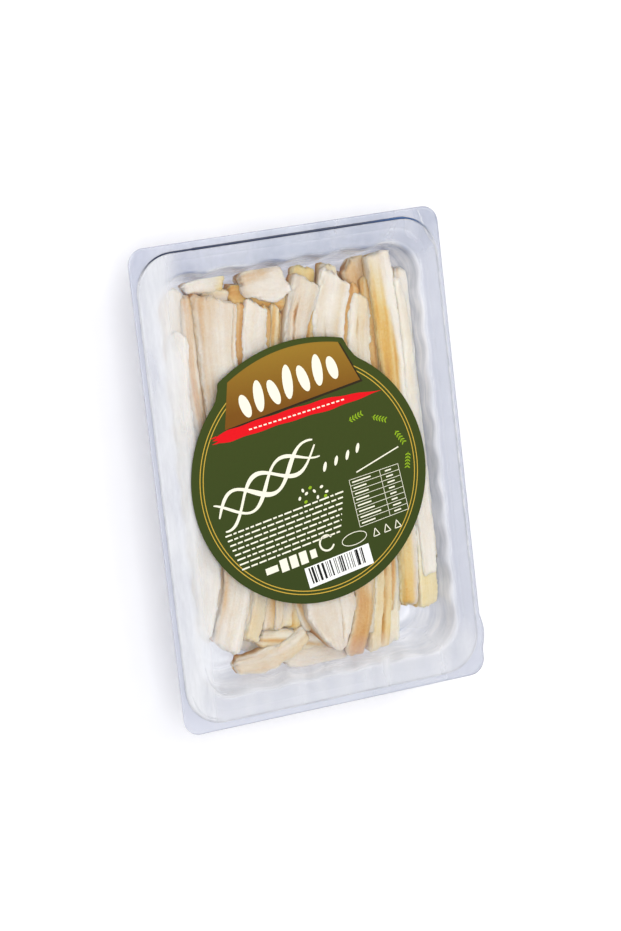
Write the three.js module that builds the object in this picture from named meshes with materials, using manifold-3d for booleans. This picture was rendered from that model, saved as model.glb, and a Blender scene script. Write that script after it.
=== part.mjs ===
import * as THREE from "three";
import Module from "manifold-3d";

// A sealed clear pack of pulled string cheese strips, lying on its base.
// Millimetres. X runs across the pack, Y along it to its head, Z up.

// Tray
const PACK_WIDTH = 130;
const PACK_LENGTH = 188;
const PACK_CORNER = 6.5;
const PEEL_TAB = 1.3; // the lower right corner stands out by this much
const RIM_TOP = 27;
const WALL = 0.5;
const MOUTH_WIDTH = 111;
const MOUTH_LENGTH = 165;
const MOUTH_CORNER = 13;
const FLUTE_DEPTH = 1.0;
const FLUTES_LONG = 9;
const FLUTES_SHORT = 5;
const POINTS_A_FLUTE = 5;

// Film and label
const FILM_WIDTH = 126;
const FILM_LENGTH = 182;
const FILM_CORNER = 15;
const SHEET = 0.2;
const GAP = 0.3; // air between pieces that touch
const LABEL_RADIUS = 49.6;
const LABEL_X = -1.5;
const LABEL_Y = -2.7;
const LABEL_TURN = 10;
const LOBE_MIDDLE = 1.2;
const LOBE_HALF = 27.5;
const LOBE_SHOULDER = 46.6;
const LOBE_TOP = 53.3;

// Cheese
const STRIP_SIDES = 10;
const SQUARE = 0.62; // 1 makes a strip's section an ellipse, and less makes it boxier
const LOW_SIDES = 8;
const STATION_STEP = 19; // along a strip
const LOW_LEVEL = 6.1;
const LOW_DEEP = 9.6;
const LOW_HEAD = 72;

// Each strip runs through four places, from its head to its foot, as [x, y, width].
// level is the height of its middle, deep its thickness, lean its roll in degrees.
// A strip higher in the table lies over those below it, which give way to it.
const STRIPS = [
  // Wide strip from the upper left to the lower left
  { level: 19.2, deep: 10.5, lean: 3, at: [[-29.9, 70.6, 20.5], [-31.2, 50.7, 16.2], [-34.4, -38, 11.8], [-42.6, -64, 13.6]] },
  // Strip right of the centre, under the whole label
  { level: 19.4, deep: 10, lean: -4, at: [[9.3, 72, 14.3], [1.1, 49.6, 10], [3.4, -57, 25], [5.4, -73.5, 5.5]] },
  // Broad strip at the right
  { level: 19.2, deep: 10.5, lean: 8, at: [[39.8, 78.6, 10.8], [40.9, 43.5, 11], [38.8, -48.4, 8], [37.4, -61.9, 7]] },
  // Broad strip beside the first one of the centre
  { level: 18.6, deep: 10.5, lean: 3, at: [[21.6, 72.2, 12.4], [15.6, 48.4, 13.5], [18, -56, 8.6], [11.3, -77, 8.5]] },
  // Crumpled lump at the head
  { level: 18.6, deep: 10.5, lean: 0, at: [[-18.8, 73.8, 9.5], [-12.8, 74, 11.5], [-5, 73, 15], [1.2, 73.6, 10]] },
  // Strip along the left wall
  { level: 18.2, deep: 10.5, lean: 8, at: [[-45.6, 59, 7.2], [-48.2, 34, 7.6], [-45.4, -31, 11.4], [-49.6, -58, 6]] },
  // Strip left of the centre
  { level: 18, deep: 10, lean: -5, at: [[-13.1, 66.6, 10.6], [-16.5, 51.3, 11], [-26, -46.5, 6.6], [-32.1, -63.3, 6.8]] },
  // Short pale strip at the lower right
  { level: 19.4, deep: 7, lean: 0, at: [[47.4, -12, 6.5], [47.8, -30.8, 7.4], [47.9, -41, 7.4], [47.6, -51.9, 6.9]] },
  // Strip between the centre and the right
  { level: 17.6, deep: 10, lean: -4, at: [[31.4, 63.5, 8.8], [28.1, 45.4, 10.4], [27.2, -49.5, 7.5], [22.4, -77.2, 8.6]] },
  // Pale strip by the right wall
  { level: 17, deep: 9, lean: -10, at: [[48, 68, 6.4], [48.8, 44, 6.6], [46.8, -50.2, 9.6], [46, -64.5, 9.5]] },
  // Bright narrow strip
  { level: 16.8, deep: 9, lean: 12, at: [[34.6, -22, 4.8], [33.2, -48.7, 5.2], [31.5, -61.6, 5.5], [29.6, -76, 5.8]] },
  // Strip in the gap, which widens to its foot
  { level: 16, deep: 8, lean: 4, at: [[-3.5, 61.9, 5.6], [-6.1, 48.6, 6.8], [-14.9, -50, 15.6], [-16, -61.9, 15.9]] },
  // Diagonal piece at the lower left
  { level: 17.2, deep: 7, lean: 0, at: [[-38.2, -72.4, 6.5], [-26.5, -72.6, 8.5], [-15.3, -69.6, 8], [-6.6, -64.6, 6.5]] },
  // Short piece at the upper left
  { level: 15.5, deep: 8.5, lean: 5, at: [[-45, 76.5, 8.6], [-46.2, 69, 8], [-46.7, 61, 7.6], [-46.4, 52, 7.2]] },
  // Piece behind the head of the wide strip
  { level: 16, deep: 7, lean: 0, at: [[-40.6, 75.4, 5], [-34.4, 75.9, 6.5], [-29, 76, 7.5], [-24, 75.8, 6]] },
  // Piece behind the head of the second strip
  { level: 14.8, deep: 7, lean: 0, at: [[10.2, 77, 9.1], [9.5, 72.6, 10.1], [8.4, 66.9, 10.2], [6.8, 59.3, 9.5]] },
  // Pale piece beside it
  { level: 14.8, deep: 7, lean: 0, at: [[21.2, 76.4, 7.8], [20.7, 71.9, 8.6], [20.4, 66.1, 8.7], [19.8, 59.3, 8.3]] },
  // Wedge beside the broad strip
  { level: 14.8, deep: 7, lean: 0, at: [[30.6, 76.2, 9.9], [31.6, 70.3, 10], [33, 63.2, 8.8], [33.6, 55.3, 8.2]] },
  // Cross piece under the feet
  { level: 15.4, deep: 6.5, lean: 0, at: [[-16, -74.6, 6], [-7.6, -75.4, 8], [1.2, -75.6, 9], [10, -76, 8]] },
];

// The low strips lie side by side on the floor of the tray: [x, width, y of the foot]
const LOW_STRIPS = [
  [-41, 14.4, -63],
  [-24.7, 16, -70],
  [-8.2, 16, -68],
  [8.3, 16, -70],
  [24.8, 16, -62],
  [40.6, 13.6, -57],
];

const wasm = await Module();
wasm.setup();

// Materials
const CLEAR_PLASTIC = { color: 0xdfe3ea, roughness: 0.15, transparent: true, opacity: 0.35 };
const LABEL_PAPER = { color: 0x434f22, roughness: 0.4 };
const CHEESE = { color: 0xf1e8d2, roughness: 0.55 };

const root = new THREE.Group();

function addNode(name, geometry, look) {
  const mesh = new THREE.Mesh(geometry, new THREE.MeshStandardMaterial(look));
  mesh.name = name;
  root.add(mesh);
}

// A closed body from rings of equal length, each end closed by a fan to a middle point.
function closedLoft(rings, firstMiddle, lastMiddle) {
  const count = rings[0].length;
  const points = rings.flat();
  const faces = [];
  for (let r = 0; r + 1 < rings.length; r++) {
    for (let i = 0; i < count; i++) {
      const j = (i + 1) % count;
      const a = r * count + i;
      const b = r * count + j;
      faces.push(a, b, b + count, a, b + count, a + count);
    }
  }
  const first = points.length;
  points.push(firstMiddle, lastMiddle);
  const last = (rings.length - 1) * count;
  for (let i = 0; i < count; i++) {
    const j = (i + 1) % count;
    faces.push(first, j, i);
    faces.push(first + 1, last + i, last + j);
  }
  return { points, faces };
}

function geometryOf({ points, faces }) {
  const geometry = new THREE.BufferGeometry();
  geometry.setAttribute("position", new THREE.Float32BufferAttribute(points.flat(), 3));
  geometry.setIndex(faces);
  return geometry;
}

// Tray

// One ring of the tray: a rounded rectangle with the flutes pressed in by depth.
// The points keep their places from ring to ring, so that rings of any size can be joined.
function trayRing(halfX, halfY, corner, z, depth = 0, tab = 0) {
  const ring = [];
  const sides = [
    { from: [1, -1], along: [0, 1], flutes: FLUTES_LONG, turn: 0 },
    { from: [1, 1], along: [-1, 0], flutes: FLUTES_SHORT, turn: 90 },
    { from: [-1, 1], along: [0, -1], flutes: FLUTES_LONG, turn: 180 },
    { from: [-1, -1], along: [1, 0], flutes: FLUTES_SHORT, turn: 270 },
  ];
  for (const side of sides) {
    const start = [side.from[0] * (halfX - corner), side.from[1] * (halfY - corner)];
    const run = 2 * (side.along[0] ? halfX - corner : halfY - corner);
    const steps = side.flutes * POINTS_A_FLUTE;
    const turn = THREE.MathUtils.degToRad(side.turn);
    for (let i = 0; i < steps; i++) {
      const wave = depth * (0.5 - 0.5 * Math.cos((2 * Math.PI * i) / POINTS_A_FLUTE));
      const s = (run * i) / steps;
      let out = corner - wave;
      if (tab && side.turn === 0) {
        const place = (s - 0.02 * run) / (0.08 * run);
        if (place > 0 && place < 1) out += tab * Math.sin(Math.PI * place);
      }
      ring.push([
        start[0] + side.along[0] * s + Math.cos(turn) * out,
        start[1] + side.along[1] * s + Math.sin(turn) * out,
        z,
      ]);
    }
    const pivot = [start[0] + side.along[0] * run, start[1] + side.along[1] * run];
    for (let i = 0; i < POINTS_A_FLUTE; i++) {
      const angle = turn + ((Math.PI / 2) * i) / POINTS_A_FLUTE;
      ring.push([pivot[0] + Math.cos(angle) * corner, pivot[1] + Math.sin(angle) * corner, z]);
    }
  }
  return ring;
}

// The tray's skin from the middle of its floor to the edge of its rim, on the inside.
// Each step: [inset from the mouth, height, share of the flute's depth]
const INSIDE = [
  [11.5, WALL, 0],
  [8.2, 1.6, 0.3],
  [6.6, 4.4, 0.7],
  [4.2, 12, 1],
  [1.8, RIM_TOP - 5, 1],
  [0.8, RIM_TOP - 1.5, 0.8],
  [-0.4, RIM_TOP - 0.3, 0.5],
  [-1.6, RIM_TOP, 0],
];

function trayStep([inset, z, share], skin) {
  const corner = Math.max(MOUTH_CORNER - 0.35 * inset, 5) + skin;
  const halfX = MOUTH_WIDTH / 2 - inset + skin;
  const halfY = MOUTH_LENGTH / 2 - inset + skin;
  return trayRing(halfX, halfY, corner, z - (skin ? WALL : 0), FLUTE_DEPTH * share);
}

function rimRing(inset, z) {
  const tab = PEEL_TAB;
  return trayRing(PACK_WIDTH / 2 - inset, PACK_LENGTH / 2 - inset, PACK_CORNER - inset, z, 0, tab);
}

const inside = INSIDE.map((step) => trayStep(step, 0));
const outside = INSIDE.map((step) => trayStep(step, WALL * 0.8)).reverse();
const rim = [rimRing(0, RIM_TOP), rimRing(0, RIM_TOP - WALL)];
const tray = closedLoft([...outside.reverse(), rim[1], rim[0], ...inside.reverse()], [0, 0, 0], [0, 0, WALL]);
addNode("tray", geometryOf(tray), CLEAR_PLASTIC);

// Film

function roundedSheet(width, length, corner, z) {
  const x = width / 2 - corner;
  const y = length / 2 - corner;
  const shape = new THREE.Shape();
  shape.absarc(x, y, corner, 0, Math.PI / 2);
  shape.absarc(-x, y, corner, Math.PI / 2, Math.PI);
  shape.absarc(-x, -y, corner, Math.PI, 1.5 * Math.PI);
  shape.absarc(x, -y, corner, 1.5 * Math.PI, 2 * Math.PI);
  shape.closePath();
  return sheetOf(shape, z, 5);
}

function sheetOf(shape, z, curveSegments) {
  const sheet = new THREE.ExtrudeGeometry(shape, { depth: SHEET, bevelEnabled: false, curveSegments });
  sheet.translate(0, 0, z);
  return sheet;
}

const FILM_Z = RIM_TOP + GAP;
addNode("film", roundedSheet(FILM_WIDTH, FILM_LENGTH, FILM_CORNER, FILM_Z), CLEAR_PLASTIC);

// Label: a circle with a lobe at its head

function labelShape() {
  const left = LOBE_MIDDLE - LOBE_HALF;
  const right = LOBE_MIDDLE + LOBE_HALF;
  const rise = LOBE_TOP - LOBE_SHOULDER;
  const arch = (LOBE_HALF ** 2 + rise ** 2) / (2 * rise);
  const sweep = Math.asin((LOBE_HALF - 2) / arch);
  const rightRoot = Math.acos((right + 3) / LABEL_RADIUS);
  const leftRoot = Math.PI - Math.acos((-left + 3) / LABEL_RADIUS);
  const shape = new THREE.Shape();
  shape.absarc(0, 0, LABEL_RADIUS, leftRoot, rightRoot + 2 * Math.PI, false);
  shape.lineTo(right + 0.6, LOBE_SHOULDER - 1.6);
  const archEnd = [LOBE_MIDDLE + arch * Math.sin(sweep), LOBE_TOP - arch + arch * Math.cos(sweep)];
  shape.quadraticCurveTo(right, LOBE_SHOULDER, archEnd[0], archEnd[1]);
  shape.absarc(LOBE_MIDDLE, LOBE_TOP - arch, arch, Math.PI / 2 - sweep, Math.PI / 2 + sweep, false);
  const root = [LABEL_RADIUS * Math.cos(leftRoot), LABEL_RADIUS * Math.sin(leftRoot)];
  shape.quadraticCurveTo(left, LOBE_SHOULDER, left - 0.6, LOBE_SHOULDER - 1.6);
  shape.lineTo(root[0], root[1]);
  return shape;
}

const label = sheetOf(labelShape(), 0, 14);
label.rotateZ(THREE.MathUtils.degToRad(LABEL_TURN));
label.translate(LABEL_X, LABEL_Y, FILM_Z + SHEET + GAP);
addNode("label", label, LABEL_PAPER);

// Cheese strips

// A number from 0 to 1 that stays the same for the same strip and index.
function chance(strip, index) {
  const v = Math.sin(strip * 78.233 + index * 12.9898) * 43758.5453;
  return v - Math.floor(v);
}

// How far a strip's skin stands out at an angle, as a share of its half width.
// The long grooves between its fibres wander a little as they run along it.
function bulge(strip, angle, along) {
  let sum = 0;
  for (let k = 2; k <= 5; k++) {
    const phase = 6.28 * chance(strip, k) + (chance(strip, k + 10) - 0.5) * 0.02 * k * along;
    sum += (0.085 / Math.sqrt(k)) * Math.sin(k * angle + phase);
  }
  return 1 + sum;
}

// The strip's rings. more makes it fatter and longer all round, for cutting its neighbours.
function stripLoft(strip, row, sides, more = 0) {
  const path = new THREE.CatmullRomCurve3(row.at.map(([x, y]) => new THREE.Vector3(x, y, row.level)));
  const length = path.getLength();
  const inner = Math.max(4, Math.round(length / STATION_STEP));
  const ends = [0, 0.03, 0.1].map((share) => (share * Math.min(length, 60)) / length);
  const places = [...ends];
  for (let i = 1; i < inner; i++) {
    const u = i / inner;
    if (u > ends[2] + 0.03 && u < 1 - ends[2] - 0.03) places.push(u);
  }
  places.push(...ends.map((u) => 1 - u).reverse());
  const lean = THREE.MathUtils.degToRad(row.lean);
  const rings = places.map((u, n) => {
    const fromEnd = Math.min(n, places.length - 1 - n);
    const close = [0.92, 0.98, 1][Math.min(fromEnd, 2)];
    const place = path.getPointAt(u);
    const t = path.getTangentAt(u);
    const side = new THREE.Vector3(-t.y, t.x, 0).normalize();
    const stop = u < 0.5 ? -1 : 1;
    const span = Math.min(path.getUtoTmapping(u) * (row.at.length - 1), row.at.length - 1.001);
    const k = Math.floor(span);
    const width = THREE.MathUtils.lerp(row.at[k][2], row.at[k + 1][2], span - k);
    const ring = [];
    for (let i = 0; i < sides; i++) {
      const angle = (2 * Math.PI * i) / sides;
      const fat = bulge(strip, angle, u * length) * close;
      const c = Math.cos(angle);
      const s = Math.sin(angle);
      const across = Math.sign(c) * Math.abs(c) ** SQUARE * ((width / 2) * fat + more);
      const up = Math.sign(s) * Math.abs(s) ** SQUARE * ((row.deep / 2) * fat + more);
      const x = across * Math.cos(lean) - up * Math.sin(lean);
      const z = across * Math.sin(lean) + up * Math.cos(lean);
      const torn = fromEnd < 2 ? 1.6 * (chance(strip, i + 30 + (stop > 0 ? 20 : 0)) - 0.5) : 0;
      const push = fromEnd ? torn * 0.7 : torn + more;
      ring.push([
        place.x + side.x * x + t.x * stop * push,
        place.y + side.y * x + t.y * stop * push,
        place.z + z,
      ]);
    }
    return ring;
  });
  const middle = (ring) => [0, 1, 2].map((axis) => ring.reduce((sum, p) => sum + p[axis], 0) / sides);
  return closedLoft(rings, middle(rings[0]), middle(rings[rings.length - 1]));
}

function solidOf({ points, faces }) {
  const vertProperties = new Float32Array(points.flat());
  const solid = new wasm.Manifold(
    new wasm.Mesh({ numProp: 3, vertProperties, triVerts: new Uint32Array(faces) }),
  );
  return solid;
}

function geometryFrom(solid) {
  const mesh = solid.getMesh();
  const points = [];
  for (let i = 0; i < mesh.numVert; i++) {
    const at = i * mesh.numProp;
    points.push([...mesh.vertProperties.slice(at, at + 3)]);
  }
  return geometryOf({ points, faces: [...mesh.triVerts] });
}

const lowRows = LOW_STRIPS.map(([x, width, foot]) => ({
  level: LOW_LEVEL,
  deep: LOW_DEEP,
  lean: 0,
  at: [
    [x, LOW_HEAD, width - 2],
    [x + 0.4, 30, width],
    [x - 0.4, -20, width],
    [x, foot, width - 3],
  ],
}));

// The room inside the tray, clear of its wall
const ROOM = INSIDE.map(([inset, z]) => [inset + FLUTE_DEPTH + GAP, Math.max(z, WALL) + (z < 5 ? GAP : 0), 0]);
const room = solidOf(
  closedLoft(ROOM.map((step) => trayStep(step, 0)), [0, 0, WALL + GAP], [0, 0, RIM_TOP]),
);

const over = [];
[...STRIPS, ...lowRows].forEach((row, index) => {
  const sides = row.level === LOW_LEVEL ? LOW_SIDES : STRIP_SIDES;
  let solid = solidOf(stripLoft(index, row, sides)).intersect(room);
  for (const cutter of over) solid = solid.subtract(cutter);
  const pieces = solid.decompose().sort((a, b) => b.volume() - a.volume());
  addNode(`strip_${String(index + 1).padStart(2, "0")}`, geometryFrom(pieces[0]), CHEESE);
  over.push(solidOf(stripLoft(index, row, sides, GAP)));
});

root.position.x = -PEEL_TAB / 2;

export default root;
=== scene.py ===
import math
import random

import bmesh
import bpy
from mathutils import Matrix, Vector, noise


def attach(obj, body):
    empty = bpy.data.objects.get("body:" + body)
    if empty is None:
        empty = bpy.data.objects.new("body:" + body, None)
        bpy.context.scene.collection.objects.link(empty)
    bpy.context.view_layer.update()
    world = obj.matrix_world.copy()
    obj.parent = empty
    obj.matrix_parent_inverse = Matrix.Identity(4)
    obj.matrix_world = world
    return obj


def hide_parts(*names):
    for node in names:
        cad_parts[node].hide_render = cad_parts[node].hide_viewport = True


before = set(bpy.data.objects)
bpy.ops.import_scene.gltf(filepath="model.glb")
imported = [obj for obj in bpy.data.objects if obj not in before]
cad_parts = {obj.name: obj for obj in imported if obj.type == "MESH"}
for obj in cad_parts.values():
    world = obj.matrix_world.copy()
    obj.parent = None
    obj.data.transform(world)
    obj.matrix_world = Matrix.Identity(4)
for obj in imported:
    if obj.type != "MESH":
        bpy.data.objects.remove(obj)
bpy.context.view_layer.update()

# Sizes in millimetres, about the middle of the tray, as the solids have them but for the thinner film and label
MM = 0.001
PEEL_TAB = 1.3
MIDDLE_X = -PEEL_TAB / 2
PACK_WIDTH, PACK_LENGTH, PACK_CORNER = 130, 188, 6.5
RIM_TOP = 27
WALL = 0.5
MOUTH_WIDTH, MOUTH_LENGTH, MOUTH_CORNER = 111, 165, 13
FLUTE_DEPTH, FLUTES_LONG, FLUTES_SHORT = 1.0, 9, 5
POINTS_A_FLUTE = 14
FILM_WIDTH, FILM_LENGTH, FILM_CORNER = 126, 182, 15
FILM_Z = 27.3
FILM_SHEET = 0.08
LABEL_TOP = 27.98
LABEL_SHEET = 0.12
LABEL_RADIUS, LABEL_X, LABEL_Y, LABEL_TURN = 49.6, -1.5, -2.7, 10
LOBE_MIDDLE, LOBE_HALF, LOBE_SHOULDER, LOBE_TOP = 1.2, 27.5, 46.6, 53.3
# The ink layers, the seal bead and the painted gleams on the rim, which the solids don't have
INK_LAYER = 0.012
BEAD_X, BEAD_Y, BEAD_Z, BEAD_RADIUS = 62.9, 90.9, 27.42, 0.5
GLEAM_Z = 27.45


def at(x, y, z):
    return Vector(((x + MIDDLE_X) * MM, y * MM, z * MM))


# Camera at the photograph's angle, over the middle of the rim

CAMERA_SPOT = at(-463.9, 190.1, 1073.9 + 27.2)
SENSOR_WIDTH, LENS = 36, 118.67
camera = bpy.data.objects.new("camera", bpy.data.cameras.new("camera"))
bpy.context.collection.objects.link(camera)
right, up, back = (
    Vector((0.90509, -0.11216, 0.41017)),
    Vector((0.16701, 0.98084, -0.10032)),
    Vector((-0.39106, 0.1593, 0.90647)),
)
turn = Matrix((right, up, back)).transposed().to_4x4()
camera.matrix_world = Matrix.Translation(CAMERA_SPOT) @ turn
camera.data.sensor_width = SENSOR_WIDTH
camera.data.lens = LENS
camera.data.clip_start = 0.01
bpy.context.scene.camera = camera
bpy.context.scene.view_settings.view_transform = "Standard"


# Materials


def srgb(text):
    """An sRGB hex colour as linear numbers."""
    out = []
    for i in (1, 3, 5):
        c = int(text[i : i + 2], 16) / 255
        out.append(c / 12.92 if c <= 0.04045 else ((c + 0.055) / 1.055) ** 2.4)
    return (*out, 1.0)


def add(tree, kind, settings=None, **links):
    """Adds a node. settings holds its properties and colour stops, and links what its sockets get."""
    node = tree.nodes.new(kind)
    for name, value in (settings or {}).items():
        if name != "stops":
            setattr(node, name, value)
            continue
        bar = node.color_ramp.elements
        while len(bar) < len(value):
            bar.new(0.5)
        for element, (place, colour) in zip(bar, value):
            element.position = place
            element.color = srgb(colour)
    for name, value in links.items():
        key = int(name[1:]) if name[0] == "i" and name[1:].isdigit() else name.replace("_", " ")
        socket = node.inputs[key]
        if isinstance(value, bpy.types.NodeSocket):
            tree.links.new(value, socket)
        else:
            socket.default_value = srgb(value) if isinstance(value, str) else value
    return node


def new_material(name):
    material = bpy.data.materials.new(name)
    material.use_nodes = True
    material.node_tree.nodes.clear()
    return material, material.node_tree


def cheese_material():
    """Pulled string cheese: moist curd drawn into fibres, cream where it is thick, with painted amber shade in the
    folds and on the shaded sides, and painted highlights on the top edges.
    """
    material, tree = new_material("pulled_cheese_curd")
    grain = add(tree, "ShaderNodeUVMap", {"uv_map": "grain"})
    # tone is the curd's own colour together with painted shade and painted highlights, worked out for each strip
    tone = add(tree, "ShaderNodeAttribute", {"attribute_name": "tone"})
    gold = add(tree, "ShaderNodeAttribute", {"attribute_name": "gold"})
    place = add(tree, "ShaderNodeTexCoord")
    # The map is in metres: fibres are about 0.5 mm apart and run for 12 mm, in bands of about 3 mm
    fibres = add(tree, "ShaderNodeMapping", Vector=grain.outputs[0], Scale=(1 / (0.5 * MM), 1 / (12 * MM), 1.0))
    fine = add(tree, "ShaderNodeTexNoise", Vector=fibres.outputs[0], Scale=1.0, Detail=3.0)
    bands = add(tree, "ShaderNodeMapping", Vector=grain.outputs[0], Scale=(1 / (3 * MM), 1 / (30 * MM), 1.0))
    broad = add(tree, "ShaderNodeTexNoise", Vector=bands.outputs[0], Scale=1.0, Detail=2.0)
    # Moister patches about 10 mm wide, and grains of curd about 0.8 mm wide
    moist = add(tree, "ShaderNodeTexNoise", Vector=place.outputs["Object"], Scale=1 / (10 * MM), Detail=2.0)
    curds = add(tree, "ShaderNodeTexNoise", Vector=place.outputs["Object"], Scale=1 / (0.8 * MM), Detail=3.0)
    total = tone.outputs["Fac"]
    for pattern, share in ((broad, 0.32), (fine, 0.11), (moist, 0.3), (curds, 0.26)):
        part = add(
            tree, "ShaderNodeMath", {"operation": "MULTIPLY_ADD"}, i0=pattern.outputs[0], i1=share, i2=-share / 2
        )
        total = add(
            tree, "ShaderNodeMath", {"operation": "ADD", "use_clamp": True}, i0=total, i1=part.outputs[0]
        ).outputs[0]
    cream = [
        (0.0, "#E4DFD6"), (0.2, "#D8CFC1"), (0.42, "#CFBCA2"), (0.62, "#C8A478"), (0.8, "#B98248"), (1.0, "#9E652B")
    ]
    yellow = [(0.0, "#E3DABB"), (0.3, "#DAC586"), (0.6, "#D0A447"), (1.0, "#B4731D")]
    pale = add(tree, "ShaderNodeValToRGB", {"stops": cream}, i0=total)
    ripe = add(tree, "ShaderNodeValToRGB", {"stops": yellow}, i0=total)
    colour = add(
        tree,
        "ShaderNodeMix",
        {"data_type": "RGBA"},
        i0=gold.outputs["Fac"],
        i6=pale.outputs[0],
        i7=ripe.outputs[0],
    )
    rough = add(tree, "ShaderNodeMapRange", Value=curds.outputs[0], To_Min=0.38, To_Max=0.6)
    height = add(
        tree, "ShaderNodeMath", {"operation": "MULTIPLY_ADD"}, i0=fine.outputs[0], i1=0.6, i2=curds.outputs[0]
    )
    bump = add(tree, "ShaderNodeBump", Height=height.outputs[0], Strength=0.6, Distance=0.4 * MM)
    shader = add(
        tree,
        "ShaderNodeBsdfPrincipled",
        Base_Color=colour.outputs[2],
        Roughness=rough.outputs[0],
        Normal=bump.outputs[0],
        IOR=1.45,
        Subsurface_Weight=0.65,
        Subsurface_Radius=(1.0, 0.75, 0.5),
        Subsurface_Scale=2.8 * MM,
    )
    add(tree, "ShaderNodeOutputMaterial", Surface=shader.outputs[0])
    return material


def tray_material():
    """Thermoformed PET, clear with a lavender-grey cast where the sheet is thick, painted shade in dark blue
    streaks on the head wall, and a painted glow low on the walls.
    """
    material, tree = new_material("thermoformed_clear_pet")
    place = add(tree, "ShaderNodeTexCoord")
    axis = add(tree, "ShaderNodeSeparateXYZ", Vector=place.outputs["Object"])
    slant = add(tree, "ShaderNodeLayerWeight", Blend=0.3)
    rim = add(
        tree,
        "ShaderNodeMapRange",
        {"interpolation_type": "SMOOTHSTEP"},
        Value=axis.outputs[2],
        From_Min=26.2 * MM,
        From_Max=26.8 * MM,
    )
    # The drawn walls have long soft ripples, 2.4 mm apart, that run round the tray
    flow = add(
        tree,
        "ShaderNodeMapping",
        Vector=place.outputs["Object"],
        Scale=(1 / (12 * MM), 1 / (20 * MM), 1 / (2.4 * MM)),
    )
    ripple = add(tree, "ShaderNodeTexNoise", Vector=flow.outputs[0], Scale=1.0, Detail=3.0, Distortion=0.6)
    # Its colours: colder at the head, where dark blue streaks are painted shade, near white elsewhere on the walls,
    # lavender grey on the rim
    head = add(tree, "ShaderNodeMapRange", Value=axis.outputs[1], From_Min=74 * MM, From_Max=79 * MM)
    across = add(tree, "ShaderNodeMapRange", Value=axis.outputs[0], From_Min=-60 * MM, From_Max=60 * MM)
    shaded_head = [(0.36, "#98A3C0"), (0.5, "#D0D6E4"), (0.6, "#F2F4F8")]
    mild = [(0.3, "#D2D6E0"), (0.5, "#E9EBF1"), (0.66, "#FCFCFE")]
    cast = [(0.0, "#BFC4D6"), (0.5, "#BEC5D5"), (1.0, "#A9B0C4")]
    tints = [
        add(tree, "ShaderNodeValToRGB", {"stops": stops}, i0=fac.outputs[0]).outputs[0]
        for stops, fac in ((shaded_head, ripple), (mild, ripple), (cast, across))
    ]
    wall = add(tree, "ShaderNodeMix", {"data_type": "RGBA"}, i0=head.outputs[0], i6=tints[1], i7=tints[0])
    body = add(tree, "ShaderNodeMix", {"data_type": "RGBA"}, i0=rim.outputs[0], i6=wall.outputs[2], i7=tints[2])
    # How much of the clear sheet is haze: more at the right, at the bottom and in streaks at the head
    right = add(
        tree,
        "ShaderNodeMapRange",
        Value=axis.outputs[0],
        From_Min=44 * MM,
        From_Max=50 * MM,
        To_Min=0.24,
        To_Max=0.36,
    )
    bottom = add(
        tree, "ShaderNodeMapRange", Value=axis.outputs[2], From_Min=4.5 * MM, From_Max=1.2 * MM, To_Max=0.36
    )
    milky = add(tree, "ShaderNodeMath", {"operation": "ADD"}, i0=right.outputs[0], i1=bottom.outputs[0])
    thick = add(tree, "ShaderNodeMix", {"data_type": "FLOAT"}, i0=rim.outputs[0], i2=milky.outputs[0], i3=0.38)
    streak = add(tree, "ShaderNodeMapRange", Value=ripple.outputs[0], From_Min=0.62, From_Max=0.36, To_Max=0.16)
    more = add(
        tree,
        "ShaderNodeMath",
        {"operation": "MULTIPLY_ADD"},
        i0=head.outputs[0],
        i1=streak.outputs[0],
        i2=thick.outputs[0],
    )
    total = add(
        tree,
        "ShaderNodeMath",
        {"operation": "MULTIPLY_ADD", "use_clamp": True},
        i0=slant.outputs["Fresnel"],
        i1=0.55,
        i2=more.outputs[0],
    )
    # Painted light: the walls glow low down, more the lower they are, so the hollow beside the cheese isn't dark
    painted_glow = add(
        tree, "ShaderNodeMapRange", Value=axis.outputs[2], From_Min=22 * MM, From_Max=5 * MM, To_Max=0.24
    )
    dimple = add(tree, "ShaderNodeTexNoise", Vector=place.outputs["Object"], Scale=1 / (2.3 * MM), Detail=1.0)
    bump = add(tree, "ShaderNodeBump", Height=dimple.outputs[0], Strength=0.22, Distance=0.3 * MM)
    through = add(tree, "ShaderNodeBsdfTransparent", Color="#FFFFFF")
    skin = add(
        tree,
        "ShaderNodeBsdfPrincipled",
        Base_Color=body.outputs[2],
        Roughness=0.14,
        Normal=bump.outputs[0],
        IOR=1.575,
        Emission_Color="#E6EBF6",
        Emission_Strength=painted_glow.outputs[0],
    )
    mix = add(tree, "ShaderNodeMixShader", i0=total.outputs[0], i1=through.outputs[0], i2=skin.outputs[0])
    add(tree, "ShaderNodeOutputMaterial", Surface=mix.outputs[0])
    return material


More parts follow.
